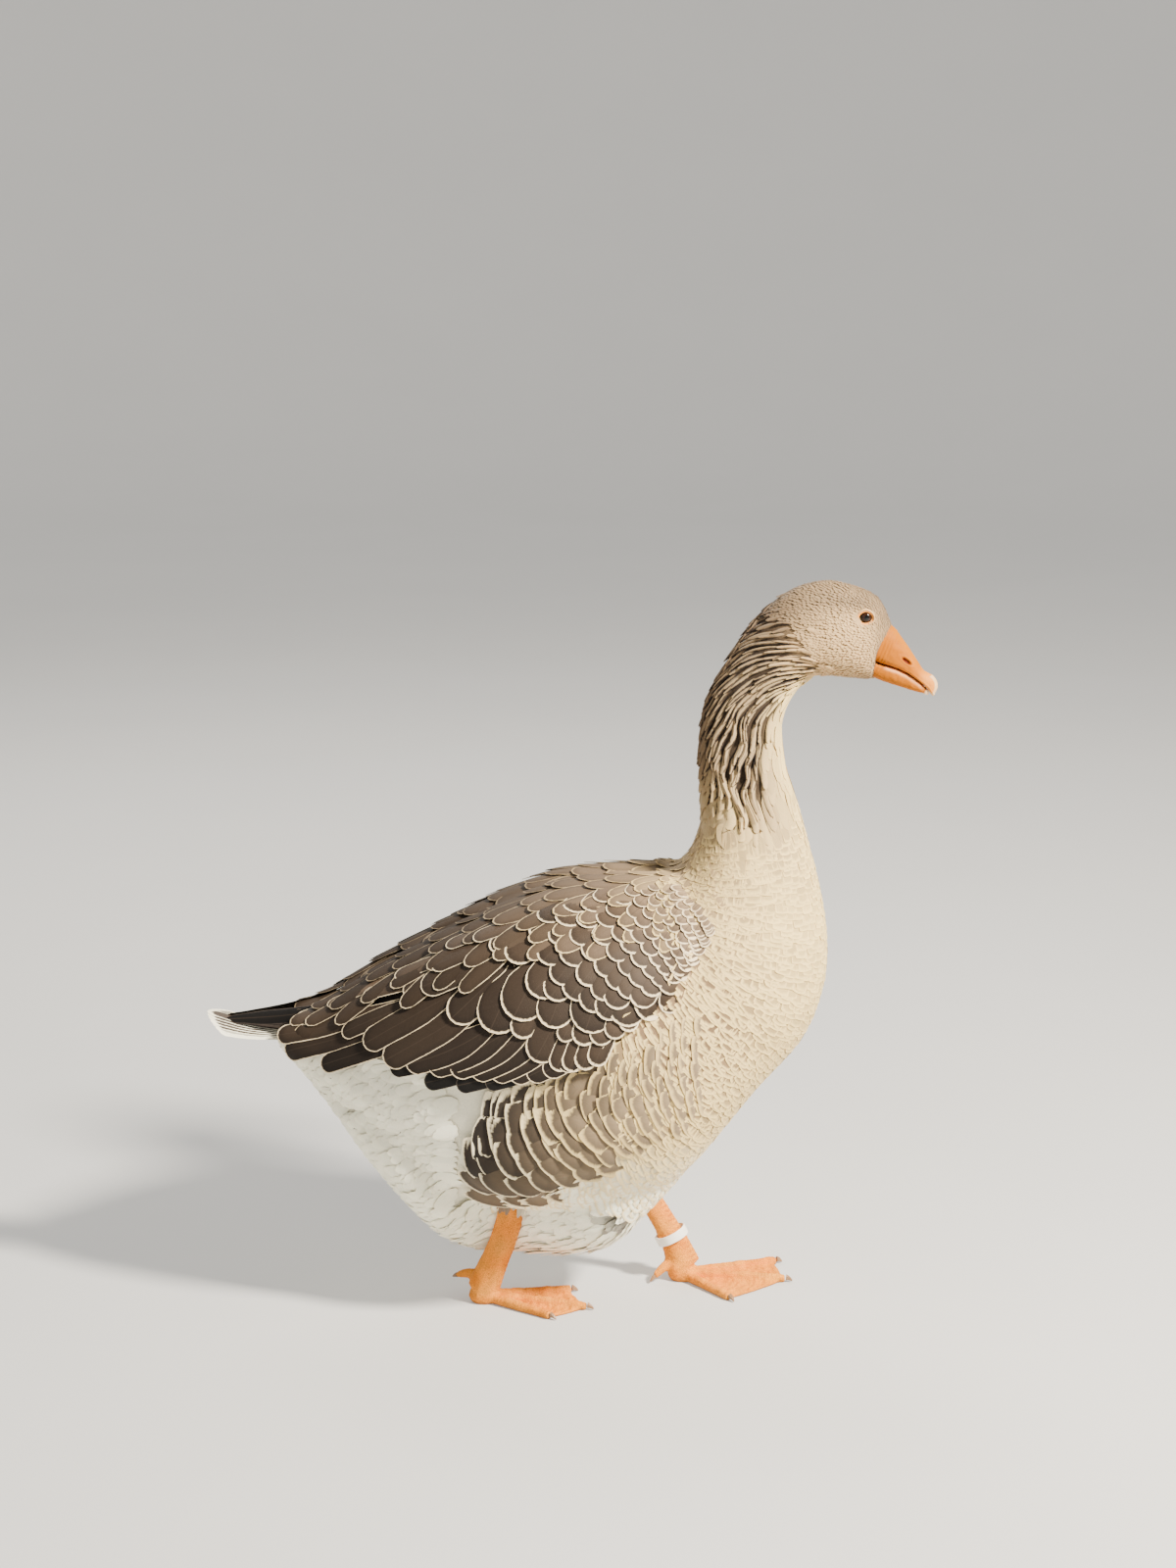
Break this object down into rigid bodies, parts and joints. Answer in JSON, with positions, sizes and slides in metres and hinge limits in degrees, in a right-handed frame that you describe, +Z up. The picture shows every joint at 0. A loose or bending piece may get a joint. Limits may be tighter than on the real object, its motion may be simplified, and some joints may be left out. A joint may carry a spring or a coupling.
{
  "type": "domestic goose",
  "caption": "Life-size grey domestic goose, walking with its neck raised and one foot forward; orange bill and webbed feet and a plain leg ring.",
  "frame": {"origin": "on the ground under the middle of the bird's length and width", "axes": "+X towards the bill, +Y to the bird's left, +Z up"},
  "size_m": [0.6438, 0.2536, 0.6505],
  "materials": {
    "bill": "satin horn, orange with a pinkish nail",
    "eye": "wet, dark brown",
    "claw": "pale horn",
    "ring": "smooth white plastic",
    "leg_skin": "scaled orange skin",
    "wing_plumage": "dark grey-brown feathers with cream edges",
    "tail_plumage": "white feathers with a dark band",
    "neck_plumage": "buff-grey, short and dense",
    "body_plumage": "pale grey-buff, barred on the flank, white behind"
  },
  "bodies": {
    "root": {"bill_lower": "bill", "bill_upper": "bill", "claw_left_hind": "claw", "claw_left_inner": "claw", "claw_left_middle": "claw", "claw_left_outer": "claw", "claw_right_hind": "claw", "claw_right_inner": "claw", "claw_right_middle": "claw", "claw_right_outer": "claw", "eye_left": "eye", "eye_right": "eye", "flank_left": "body_plumage", "flank_right": "body_plumage", "foot_left": "leg_skin", "foot_right": "leg_skin", "head": "neck_plumage", "leg_left": "leg_skin", "leg_right": "leg_skin", "leg_ring": "ring", "neck_lower": "neck_plumage", "neck_upper": "neck_plumage", "tail": "tail_plumage", "trunk": "body_plumage", "wing_left": "wing_plumage", "wing_right": "wing_plumage"}
  },
  "joints": []
}
